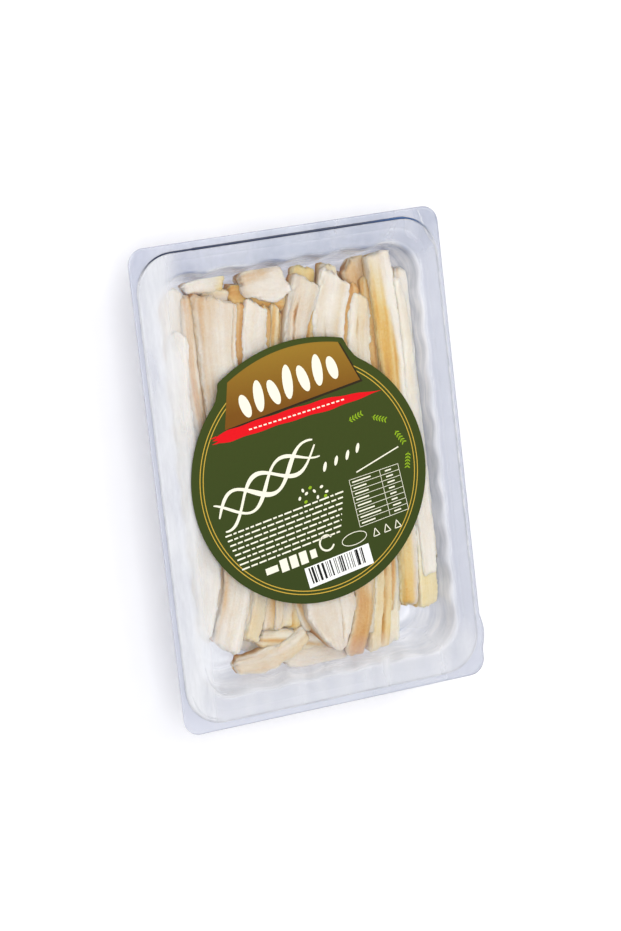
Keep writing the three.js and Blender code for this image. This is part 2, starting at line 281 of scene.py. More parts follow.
def film_material():
    """Clear sealing film. It shows only as soft glints, and as a milky veil in clouds at the left and the foot."""
    material, tree = new_material("clear_sealing_film")
    place = add(tree, "ShaderNodeTexCoord")
    axis = add(tree, "ShaderNodeSeparateXYZ", Vector=place.outputs["Object"])
    slant = add(tree, "ShaderNodeLayerWeight", Blend=0.25)
    # The veil lies in clouds about 6 mm wide and 30 mm long
    cloud = add(
        tree,
        "ShaderNodeMapping",
        Vector=place.outputs["Object"],
        Scale=(1 / (6 * MM), 1 / (30 * MM), 1 / (10 * MM)),
    )
    veil_cloud = add(tree, "ShaderNodeTexNoise", Vector=cloud.outputs[0], Scale=1.0, Detail=4.0)
    left = add(tree, "ShaderNodeMapRange", Value=axis.outputs[0], From_Min=-43 * MM, From_Max=-53 * MM, To_Max=0.7)
    foot = add(tree, "ShaderNodeMapRange", Value=axis.outputs[1], From_Min=-68 * MM, From_Max=-80 * MM, To_Max=0.4)
    veil_reach = add(tree, "ShaderNodeMath", {"operation": "MAXIMUM"}, i0=left.outputs[0], i1=foot.outputs[0])
    veil = add(tree, "ShaderNodeMath", {"operation": "MULTIPLY"}, i0=veil_reach.outputs[0], i1=veil_cloud.outputs[0])
    base = add(tree, "ShaderNodeMath", {"operation": "ADD"}, i0=veil.outputs[0], i1=0.012)
    total = add(
        tree,
        "ShaderNodeMath",
        {"operation": "MULTIPLY_ADD", "use_clamp": True},
        i0=slant.outputs["Fresnel"],
        i1=0.3,
        i2=base.outputs[0],
    )
    wave = add(tree, "ShaderNodeTexNoise", Vector=place.outputs["Object"], Scale=1 / (10 * MM), Detail=2.0)
    bump = add(tree, "ShaderNodeBump", Height=wave.outputs[0], Strength=0.35, Distance=0.6 * MM)
    through = add(tree, "ShaderNodeBsdfTransparent", Color="#FEFEFE")
    skin = add(
        tree,
        "ShaderNodeBsdfPrincipled",
        Base_Color="#F3F4F6",
        Roughness=0.08,
        Normal=bump.outputs[0],
        IOR=1.5,
    )
    mix = add(tree, "ShaderNodeMixShader", i0=total.outputs[0], i1=through.outputs[0], i2=skin.outputs[0])
    add(tree, "ShaderNodeOutputMaterial", Surface=mix.outputs[0])
    return material


def bead_material(name, dark):
    """Pressed clear PET. Its colours are painted light: it gleams white in a painted highlight, and dark makes it
    turn navy along the head in a painted reflection.
    """
    material, tree = new_material(name)
    place = add(tree, "ShaderNodeTexCoord")
    axis = add(tree, "ShaderNodeSeparateXYZ", Vector=place.outputs["Object"])
    head = add(
        tree, "ShaderNodeMapRange", Value=axis.outputs[1], From_Min=80 * MM, From_Max=89.5 * MM, To_Max=dark
    )
    # The painted gleam breaks up about every 4 mm
    breaks = add(tree, "ShaderNodeTexNoise", Vector=place.outputs["Object"], Scale=1 / (4 * MM), Detail=2.0)
    side = add(tree, "ShaderNodeMapRange", Value=axis.outputs[0], From_Min=30 * MM, From_Max=46 * MM)
    # Painted reflection: navy along the head, bluer towards the right
    navy_reflection = add(tree, "ShaderNodeValToRGB", {"stops": [(0.0, "#1B2845"), (1.0, "#174478")]}, i0=side.outputs[0])
    white_gleam = add(tree, "ShaderNodeValToRGB", {"stops": [(0.35, "#D3D8E2"), (0.6, "#FBFCFE")]}, i0=breaks.outputs[0])
    colour = add(
        tree,
        "ShaderNodeMix",
        {"data_type": "RGBA"},
        i0=head.outputs[0],
        i6=white_gleam.outputs[0],
        i7=navy_reflection.outputs[0],
    )
    solid = add(tree, "ShaderNodeMapRange", Value=head.outputs[0], To_Min=0.2, To_Max=0.98)
    through = add(tree, "ShaderNodeBsdfTransparent", Color="#FEFEFE")
    skin = add(tree, "ShaderNodeBsdfPrincipled", Base_Color=colour.outputs[2], Roughness=0.2, IOR=1.575)
    mix = add(tree, "ShaderNodeMixShader", i0=solid.outputs[0], i1=through.outputs[0], i2=skin.outputs[0])
    add(tree, "ShaderNodeOutputMaterial", Surface=mix.outputs[0])
    return material


def print_material(name, colour, rough=0.38, second=None, low=0.0, high=1.0):
    """Ink on coated label paper: satin, with the paper's faint tooth. A second colour comes in along Y."""
    material, tree = new_material(name)
    place = add(tree, "ShaderNodeTexCoord")
    tooth = add(tree, "ShaderNodeTexNoise", Vector=place.outputs["Object"], Scale=1 / (1.2 * MM), Detail=3.0)
    if second:
        spread = add(tree, "ShaderNodeSeparateXYZ", Vector=place.outputs["Object"])
        run = add(tree, "ShaderNodeMapRange", Value=spread.outputs[1], From_Min=low * MM, From_Max=high * MM)
        fade = [(0.0, colour), (1.0, second)]
        base = add(tree, "ShaderNodeValToRGB", {"stops": fade}, i0=run.outputs[0]).outputs[0]
    else:
        base = colour
    tint = add(
        tree,
        "ShaderNodeMix",
        {"data_type": "RGBA", "blend_type": "MULTIPLY"},
        i0=0.10,
        i6=base,
        i7=tooth.outputs[1],
    )
    shine = add(tree, "ShaderNodeMapRange", Value=tooth.outputs[0], To_Min=rough - 0.05, To_Max=rough + 0.06)
    bump = add(tree, "ShaderNodeBump", Height=tooth.outputs[0], Strength=0.15, Distance=0.03 * MM)
    shader = add(
        tree,
        "ShaderNodeBsdfPrincipled",
        Base_Color=tint.outputs[2],
        Roughness=shine.outputs[0],
        Normal=bump.outputs[0],
        Specular_IOR_Level=0.12,
    )
    add(tree, "ShaderNodeOutputMaterial", Surface=shader.outputs[0])
    return material


def floor_material():
    """Matt white card, plain enough to show only the soft shade of the pack."""
    material, tree = new_material("white_card")
    place = add(tree, "ShaderNodeTexCoord")
    speck = add(tree, "ShaderNodeTexNoise", Vector=place.outputs["Object"], Scale=60.0)
    base = add(tree, "ShaderNodeValToRGB", {"stops": [(0.0, "#F6F6F8"), (1.0, "#FAFAFC")]}, i0=speck.outputs[0])
    shader = add(tree, "ShaderNodeBsdfPrincipled", Base_Color=base.outputs[0], Roughness=0.9, IOR=1.4)
    add(tree, "ShaderNodeOutputMaterial", Surface=shader.outputs[0])
    return material


# Pieces


def make_piece(name, bm, materials, stands_for=(), smooth=True):
    mesh = bpy.data.meshes.new(name)
    bm.to_mesh(mesh)
    bm.free()
    for material in materials:
        mesh.materials.append(material)
    for face in mesh.polygons:
        face.use_smooth = smooth
    piece = bpy.data.objects.new(name, mesh)
    bpy.context.collection.objects.link(piece)
    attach(piece, "root")
    if stands_for:
        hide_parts(*stands_for)
    return piece


def shaped_grid(rows, columns, place, weld=True, grain=None, shades=None, into=None):
    """A grid whose points go where place(row share, column share) says, its edges welded where they meet."""
    bm = into if into is not None else bmesh.new()
    layer = bm.loops.layers.uv.new("grain") if grain else None
    names = list(shades or {})
    for name in names:
        bm.verts.layers.float.new(name)
    # A new layer moves the others, so they are looked up once all are there
    layers = {name: bm.verts.layers.float[name] for name in names}
    made = bmesh.ops.create_grid(bm, x_segments=rows, y_segments=columns, size=1)["verts"]
    shares = {v: ((v.co.x + 1) / 2, (v.co.y + 1) / 2) for v in made}
    if grain:
        for face in bm.faces:
            for loop in face.loops:
                loop[layer].uv = grain(*shares[loop.vert])
    for v, (a, b) in shares.items():
        for name in names:
            v[layers[name]] = shades[name](a, b)
        v.co = place(a, b)
    if weld:
        bmesh.ops.remove_doubles(bm, verts=made, dist=1e-7)
    return bm


def face_up(bm):
    """Makes a sheet's faces agree, and turns them over if they look down."""
    bmesh.ops.recalc_face_normals(bm, faces=bm.faces)
    if sum(f.normal.z for f in bm.faces) < 0:
        bmesh.ops.reverse_faces(bm, faces=bm.faces)


def soften(values, share):
    """A smooth run through a short list of rows of numbers, at a share from 0 to 1."""
    span = share * (len(values) - 1)
    k = min(int(span), len(values) - 2)
    t = span - k
    rows = [values[max(0, min(len(values) - 1, k + j))] for j in (-1, 0, 1, 2)]
    out = []
    for p0, p1, p2, p3 in zip(*rows):
        a, b = (p2 - p0) / 2, (p3 - p1) / 2
        out.append(p1 + a * t + (3 * (p2 - p1) - 2 * a - b) * t**2 + (2 * (p1 - p2) + a + b) * t**3)
    return out


# Tray

SIDES = [
    ((1, -1), (0, 1), FLUTES_LONG, 0),
    ((1, 1), (-1, 0), FLUTES_SHORT, 90),
    ((-1, 1), (0, -1), FLUTES_LONG, 180),
    ((-1, -1), (1, 0), FLUTES_SHORT, 270),
]
RING_POINTS = (2 * (FLUTES_LONG + FLUTES_SHORT) + 4) * POINTS_A_FLUTE


def ring_point(index, half_x, half_y, corner, z, depth=0.0, tab=0.0):
    """One point of a ring round the tray, with the flutes pressed in by depth."""
    index %= RING_POINTS
    for (sx, sy), along, flutes, angle in SIDES:
        steps = flutes * POINTS_A_FLUTE
        start = (sx * (half_x - corner), sy * (half_y - corner))
        run = 2 * ((half_x if along[0] else half_y) - corner)
        heading = math.radians(angle)
        if index < steps:
            wave = depth * (0.5 - 0.5 * math.cos(2 * math.pi * index / POINTS_A_FLUTE))
            s = run * index / steps
            out = corner - wave
            # The peel tab swells the right side just above its lower corner
            share = (s - 0.02 * run) / (0.08 * run)
            if angle == 0 and 0 < share < 1:
                out += tab * math.sin(math.pi * share)
            return at(
                start[0] + along[0] * s + math.cos(heading) * out,
                start[1] + along[1] * s + math.sin(heading) * out,
                z,
            )
        index -= steps
        if index < POINTS_A_FLUTE:
            heading += math.pi / 2 * index / POINTS_A_FLUTE
            return at(
                start[0] + along[0] * run + math.cos(heading) * corner,
                start[1] + along[1] * run + math.sin(heading) * corner,
                z,
            )
        index -= POINTS_A_FLUTE


# The skin's section: inset from the mouth, height, share of the flutes' depth
INSIDE = [
    (11.5, WALL, 0.0),
    (8.2, 1.6, 0.3),
    (6.6, 4.4, 0.7),
    (4.2, 12, 1.0),
    (1.8, RIM_TOP - 5, 1.0),
    (0.8, RIM_TOP - 1.5, 0.8),
    (-0.4, RIM_TOP - 0.3, 0.5),
    (-1.6, RIM_TOP, 0.0),
]
# The rim outwards: inset from its edge, height, with a faint pressed line inside the seal
RIM = [(7.2, 27.0), (6.6, 26.92), (6.0, 27.0), (4.0, 27.0), (2.2, 27.0), (1.0, 27.0), (0.4, 26.95), (0.0, 26.7)]
WALL_ROWS, RIM_ROWS = 40, 24


def tray_place(a, b):
    row = round(a * (WALL_ROWS + RIM_ROWS))
    index = round(b * RING_POINTS)
    if row <= WALL_ROWS:
        inset, z, share = soften(INSIDE, row / WALL_ROWS)
        corner = max(MOUTH_CORNER - 0.35 * inset, 5)
        return ring_point(
            index, MOUTH_WIDTH / 2 - inset, MOUTH_LENGTH / 2 - inset, corner, max(z, WALL), FLUTE_DEPTH * share
        )
    inset, z = soften(RIM, (row - WALL_ROWS - 1) / (RIM_ROWS - 1))
    corner = PACK_CORNER + (MOUTH_CORNER - PACK_CORNER) * min(1, inset / 3)
    tab = PEEL_TAB * max(0, 1 - inset / 1.5)
    return ring_point(index, PACK_WIDTH / 2 - inset, PACK_LENGTH / 2 - inset, corner, z, 0, tab)


tray_bm = shaped_grid(WALL_ROWS + RIM_ROWS, RING_POINTS, tray_place)
border = [e for e in tray_bm.edges if e.is_boundary and all(v.co.z < 2 * MM for v in e.verts)]
bmesh.ops.contextual_create(tray_bm, geom=border)
bmesh.ops.recalc_face_normals(tray_bm, faces=tray_bm.faces)
if max(tray_bm.faces, key=lambda f: f.calc_area()).normal.z < 0:
    bmesh.ops.reverse_faces(tray_bm, faces=tray_bm.faces)
tray = make_piece("moulded_tray", tray_bm, [tray_material()], ("tray",))
wall = tray.modifiers.new("wall", "SOLIDIFY")
wall.thickness = WALL * MM
wall.offset = -1
wall.use_rim = True

# Film: drawn tight over the rim, a little slack over the hollow



def round_corner(x, y, half_x, half_y, corner):
    """Draws a point of a plain rectangle in, so that the rectangle's corners become round."""
    dx, dy = abs(x) - half_x + corner, abs(y) - half_y + corner
    if dx <= 0 or dy <= 0:
        return x, y
    keep = max(dx, dy) / math.hypot(dx, dy)
    return math.copysign(half_x - corner + dx * keep, x), math.copysign(half_y - corner + dy * keep, y)


def film_place(a, b):
    half_x, half_y = FILM_WIDTH / 2, FILM_LENGTH / 2
    x, y = round_corner((2 * a - 1) * half_x, (2 * b - 1) * half_y, half_x, half_y, FILM_CORNER)
    slack = max(0.0, min(1.0, (min(half_x - abs(x), half_y - abs(y)) - 7) / 10))
    ripple = noise.noise(Vector((x / 24, y / 30, 3.1))) * 0.3 + noise.noise(Vector((x / 8, y / 12, 8.4))) * 0.12
    return at(x, y, FILM_Z + 0.1 - 0.12 * slack + max(-0.3, min(0.15, ripple)) * slack)


film_bm = shaped_grid(84, 122, film_place)
face_up(film_bm)
film = make_piece("top_film", film_bm, [film_material()], ("film",))
sheet = film.modifiers.new("sheet", "SOLIDIFY")
sheet.thickness = FILM_SHEET * MM
sheet.offset = 0

# Seal bead: a low half-round line pressed round the film's edge


def tube_place(half_x, half_y, corner, z, radius, swell):
    def place(a, b):
        index = round(a * RING_POINTS)
        turned = 2 * math.pi * b
        size = radius * swell(a)
        out = size * math.cos(turned)
        return ring_point(index, half_x + out, half_y + out, corner + out, z + size * 0.6 * math.sin(turned))

    return place


def bead_swell(share):
    """The bead is stouter along the head, and uneven all round."""
    return (0.95 if 0.31 < share < 0.455 else 0.65) + 0.25 * noise.noise(Vector((share * 40, 2, 5)))


bead_bm = shaped_grid(RING_POINTS, 8, tube_place(BEAD_X, BEAD_Y, FILM_CORNER, BEAD_Z, BEAD_RADIUS, bead_swell))
bmesh.ops.recalc_face_normals(bead_bm, faces=bead_bm.faces)
make_piece("seal_bead", bead_bm, [bead_material("heat_sealed_pet_bead", 1.0)])

# Painted highlights: thin white ridges at the far right corner, where the sheet folds, along the right, and in two
# arcs at the near left


def gleam_ridge(points, radius):
    """A thin rounded ridge through a few places of the rim, thinner towards both ends."""

    def place(a, b):
        x, y = soften(points, a)
        x1, y1 = soften(points, min(1.0, a + 0.01))
        x0, y0 = soften(points, max(0.0, a - 0.01))
        size = math.hypot(x1 - x0, y1 - y0)
        turned = 2 * math.pi * b
        off = radius * math.sin(math.pi * (0.04 + 0.92 * a)) ** 0.6
        side = off * math.cos(turned)
        return at(x - (y1 - y0) / size * side, y + (x1 - x0) / size * side, GLEAM_Z + 0.4 * off * math.sin(turned))

    return place


gleam_bm = bmesh.new()
for points, radius in (
    ([(56.6, 93.2), (58.0, 88), (60.0, 82.5), (62.4, 77.5), (63.0, 68)], 0.42),
    ([(63.0, 68), (63.1, 20), (63.1, -30), (63.0, -74)], 0.34),
    ([(-60.5, -78.5), (-58.6, -84), (-55.2, -87.6), (-49.6, -89.6)], 0.36),
    ([(-54.0, -68.5), (-52.6, -74.6), (-49.0, -79.0), (-43.8, -81.3)], 0.34),
):
    shaped_grid(60, 8, gleam_ridge(points, radius), into=gleam_bm)
bmesh.ops.recalc_face_normals(gleam_bm, faces=gleam_bm.faces)
make_piece("rim_gleams", gleam_bm, [bead_material("painted_gleam_pet", 0.0)])

# Label


def on_label(x, y, z):
    """A point given on the label, which lies turned on the film."""
    a = math.radians(LABEL_TURN)
    return at(
        LABEL_X + x * math.cos(a) - y * math.sin(a),
        LABEL_Y + x * math.sin(a) + y * math.cos(a),
        z,
    )


def from_face(x, y):
    """A point of the pack's face as a point on the label."""
    a = math.radians(LABEL_TURN)
    x, y = x - LABEL_X, y - LABEL_Y
    return x * math.cos(a) + y * math.sin(a), y * math.cos(a) - x * math.sin(a)


def label_edge(b):
    """The die-cut edge at a share b round it: a circle, and a lobe with a low arch at the head."""
    heading = 2 * math.pi * b + math.pi / 2
    x, y = LABEL_RADIUS * math.cos(heading), LABEL_RADIUS * math.sin(heading)
    side = (x - LOBE_MIDDLE) / LOBE_HALF
    if y > 0 and abs(side) < 1.2:
        rise = LOBE_TOP - LOBE_SHOULDER
        arch = LOBE_SHOULDER + rise * (1 - min(1.0, abs(side)) ** 2)
        x = LOBE_MIDDLE + LOBE_HALF * max(-1.0, min(1.0, side * 1.02))
        blend = max(0.0, min(1.0, (1.13 - abs(side)) / 0.13))
        blend = blend * blend * (3 - 2 * blend)
        keep_x, keep_y = LABEL_RADIUS * math.cos(heading), y
        x = keep_x + (x - keep_x) * blend
        y = keep_y + (max(arch, keep_y) - keep_y) * blend
    return x, y


def label_place(a, b):
    x, y = label_edge(b)
    return on_label(x * a, y * a, LABEL_TOP)


def oval(middle, half_x, half_y, start=0.0, sweep=2 * math.pi):
    """A line round an oval, from the angle start."""
    x, y = middle
    return lambda a: (x + half_x * math.cos(sweep * a + start), y + half_y * math.sin(sweep * a + start))


def within(corners, u, v):
    """A point of a four-sided field, at a share across it and a share down it."""
    top = [corners[0][k] + (corners[1][k] - corners[0][k]) * u for k in (0, 1)]
    low = [corners[3][k] + (corners[2][k] - corners[3][k]) * u for k in (0, 1)]
    return tuple(top[k] + (low[k] - top[k]) * v for k in (0, 1))


class Ink:
    """Printed shapes of one colour, all in one thin layer on the label."""

    def __init__(self, level):
        self.bm = bmesh.new()
        self.z = LABEL_TOP + INK_LAYER * level

    def ribbon(self, line, width, steps=24, closed=False):
        """A band along line(share), width(share) wide."""

        def place(a, b):
            x, y = line(a)
            x1, y1 = line(a - 0.002) if not closed and a > 0.5 else line(a + 0.002)
            dx, dy = (x - x1, y - y1) if not closed and a > 0.5 else (x1 - x, y1 - y)
            size = math.hypot(dx, dy) or 1.0
            off = (b - 0.5) * width(a)
            return on_label(x - dy / size * off, y + dx / size * off, self.z)

        shaped_grid(steps, 1, place, weld=False, into=self.bm)

    def bar(self, x0, y0, x1, y1, width):
        self.ribbon(lambda a: (x0 + (x1 - x0) * a, y0 + (y1 - y0) * a), lambda a: width, 1)

    def dot(self, x, y, long, short, angle, points=14):
        made = bmesh.ops.create_circle(self.bm, cap_ends=True, segments=points, radius=1)["verts"]
        turned = Matrix.Rotation(math.radians(angle), 2)
        for v in made:
            d = turned @ Vector((v.co.x * long, v.co.y * short))
            v.co = on_label(x + d.x, y + d.y, self.z)

    def finish(self, name, material):
        bmesh.ops.recalc_face_normals(self.bm, faces=self.bm.faces)
        for face in self.bm.faces:
            if face.normal.z < 0:
                face.normal_flip()
        return make_piece(name, self.bm, [material], smooth=False)


green = print_material("label_green_ink", "#344117", second="#3C4717", low=-50, high=40)
label_bm = shaped_grid(10, 200, label_place)
face_up(label_bm)
label = make_piece("label_paper", label_bm, [green], ("label",), smooth=False)
stock = label.modifiers.new("stock", "SOLIDIFY")
stock.thickness = LABEL_SHEET * MM
stock.offset = -1

rng = random.Random(7)

gold = Ink(1)
for radius in (46.0, 44.7):
    gold.ribbon(oval((0, 0), radius, radius), lambda a: 0.36, 120, True)
gold.finish("label_rings", print_material("gold_ink", "#C9A640", 0.3))


def plaque_place(x_shift, y_shift, z):
    def place(a, b):
        low = -28.4 + 59.3 * a
        high = -22.2 + 48.4 * a
        top = 46.0 + 4.9 * (1 - (2 * a - 1) ** 2)
        return on_label(low + (high - low) * b + x_shift, 29 + (top - 29) * b + y_shift, z)

    return place


shade_bm = shaped_grid(24, 4, plaque_place(0.9, -0.9, LABEL_TOP + 0.02), weld=False)
field_bm = shaped_grid(24, 4, plaque_place(0, 0, LABEL_TOP + 0.032), weld=False)
for bm, name, ink in (
    (shade_bm, "label_plaque_edge", print_material("umber_ink", "#2E2412")),
    (field_bm, "label_plaque", print_material("ochre_ink", "#774C12", second="#957225", low=26, high=47)),
):
    face_up(bm)
    make_piece(name, bm, [ink], smooth=False)

red = Ink(3)
red.ribbon(
    lambda a: (-32.5 + 70.6 * a, 26.4 - 4.2 * a + 0.9 * math.sin(3.2 * a)),
    lambda a: 4.6 * min(1, 0.55 + 6 * a) * min(1.0, 3.2 * (1 - a) + 0.06) + 0.35 * math.sin(31 * a),
    60,
)
for shift, size, start in ((-1.9, 0.9, -35.2), (0.2, 1.1, -34.6), (1.9, 0.8, -35.6)):
    red.ribbon(lambda a, s=shift, x=start: (x + (-32.5 - x) * a, 26.5 + s * 0.6), lambda a, w=size: w * a, 4)
red.finish("label_ribbon", print_material("red_ink", "#E00A17"))

# Cream print: leaves, a row of dashes, a twist of strands, drops and a line
cream = Ink(4)
for x, height, lean in (
    (-19.0, 9.5, 8),
    (-12.6, 12.5, -6),
    (-6.2, 10.5, 10),
    (0.4, 13.5, -8),
    (7.0, 11, 8),
    (13.6, 12.5, -6),
    (19.8, 9.5, 6),
):
    cream.dot(x + 1.2, 31.4 + height / 2 + 0.06 * x, 2.1, height / 2, lean, 20)
for i in range(20):
    cream.bar(-19 + 2.1 * i, 25.9 - 0.1 * i, -17.7 + 2.1 * i, 25.8 - 0.1 * i, 0.55)
STRAND_RISE = 0.004
for strand, wide in ((0, 1.5), (2.1, 1.2), (4.2, 1.35)):

    def twist(a, strand=strand):
        swing = (6.2 - 2.2 * a) * math.sin(strand + 8.6 * a)
        return from_face(-41 + 43 * a - 0.35 * swing, -12.5 + 21 * a + swing)

    def swell(a, wide=wide):
        return wide * (0.35 + math.sin(math.pi * a) ** 0.5 * (0.75 + 0.25 * math.sin(19 * a)))

    # The strands cross, so each lies a little above the last
    cream.z += STRAND_RISE
    cream.ribbon(twist, swell, 90)
cream.z += STRAND_RISE
for x, y in ((5, 0), (10, 1.6), (15, 3.0), (19.6, 5.0)):
    cream.dot(*from_face(x, y), 2.0, 0.7, 62)
cream.bar(*from_face(18, -4.4), *from_face(37, 2.6), 0.5)
for x, y in ((-7, -10.5), (-4, -9), (-0.6, -8.6), (2.6, -7.4), (-5.4, -7.6), (0.6, -11.2), (4.6, -9.6)):
    cream.dot(*from_face(x, y), 0.8, 0.55, rng.uniform(0, 180), 10)
# Rows of small dashes, which follow the slope of the label
SLOPE = 0.176
for row in range(8):
    y = -15.5 - 2.1 * row
    x = -39.5 + 0.75 * row
    last = 11.5 - 0.4 * row
    while x < last:
        run = min(rng.uniform(1.2, 4.2), last - x)
        tilt = SLOPE * (x + 15)
        cream.bar(*from_face(x, y + tilt), *from_face(x + run, y + tilt + SLOPE * run), 0.62)
        x += run + 0.7
# A row of blocks
for x, wide, tall in ((-24.5, 5.2, 2.6), (-18.2, 3.2, 5.0), (-14.0, 3.2, 5.0), (-9.8, 3.2, 5.0), (-5.2, 2.6, 3.4)):
    y = -35.3 + SLOPE * (x + 18)
    cream.bar(*from_face(x, y), *from_face(x + wide, y + SLOPE * wide), tall)
# An open ring and an oval
cream.ribbon(oval(from_face(2.2, -29.6), 3.0, 3.0, 0.6, 5.2), lambda a: 0.75, 24)
cream.ribbon(oval(from_face(14, -30), 5.4, 2.4), lambda a: 0.28, 40, True)
# A table of lines
table = [from_face(14.5, -7), from_face(36, -4), from_face(38.5, -22.5), from_face(17, -26)]
TABLE_ROWS = 8
for k in range(TABLE_ROWS + 1):
    cream.bar(*within(table, 0, k / TABLE_ROWS), *within(table, 1, k / TABLE_ROWS), 0.2)
    if k < TABLE_ROWS:
        v = (k + 0.5) / TABLE_ROWS
        cream.bar(*within(table, 0.05, v), *within(table, rng.uniform(0.3, 0.5), v), 0.55)
        cream.bar(*within(table, 0.72, v), *within(table, rng.uniform(0.84, 0.92), v), 0.55)
for u in (0, 0.62, 1):
    cream.bar(*within(table, u, 0), *within(table, u, 1), 0.2)
# Small plain signs
for x, y in ((23.5, -29), (28.3, -28.2), (33, -27.4)):
    px, py = from_face(x, y)
    for dx0, dy0, dx1, dy1 in ((-1.4, -1.5, 1.4, -1.5), (1.4, -1.5, 0, 1.6), (0, 1.6, -1.4, -1.5)):
        cream.bar(px + dx0, py + dy0, px + dx1, py + dy1, 0.35)
cream.finish("label_cream_print", print_material("cream_ink", "#F3F0DC"))

# Lime sprigs and seeds
lime = Ink(4)
for x, y, angle in ((20, 17, 20), (30, 15, -20), (38, 6.5, -58), (40.5, -3, -100)):
    px, py = from_face(x, y)
    heading = math.radians(angle - LABEL_TURN)
    for k in range(5):
        s = (k - 2) * 1.25
        cx, cy = px + s * math.cos(heading), py + s * math.sin(heading)
        for side in (-1, 1):
            lean = heading + side * 0.9
            lime.dot(cx + 0.75 * math.cos(lean), cy + 0.75 * math.sin(lean), 0.75, 0.26, math.degrees(lean), 8)
    c, s = math.cos(heading), math.sin(heading)
    lime.bar(px - 3 * c, py - 3 * s, px + 3.2 * c, py + 3.2 * s, 0.16)
for x, y in ((-2.2, -7.0), (3.9, -11.2), (-4.6, -12.2)):
    lime.dot(*from_face(x, y), 0.8, 0.6, 20, 10)
lime.finish("label_lime_print", print_material("lime_ink", "#8DB01E"))

# A white box with plain bars of random widths
BOX_WIDTH, BOX_HEIGHT = 28.4, 8.3
box = [from_face(-8.7, -37.9), from_face(19.7, -32.9), from_face(21.1, -41), from_face(-6.7, -46.1)]
white = Ink(4)
white.ribbon(lambda a: within(box, a, 0.5), lambda a: BOX_HEIGHT, 1)
white.finish("label_code_field", print_material("white_ink", "#FBFBF8"))
black = Ink(5)
u = 0.07
while u < 0.93:
    wide = rng.choice((0.33, 0.33, 0.66, 1.0))
    black.bar(*within(box, u, 0.06), *within(box, u, 0.84), wide)
    u += (wide / 2 + rng.choice((0.5, 0.5, 0.85, 1.2))) / BOX_WIDTH * 1.1
black.finish("label_code_bars", print_material("black_ink", "#151515"))
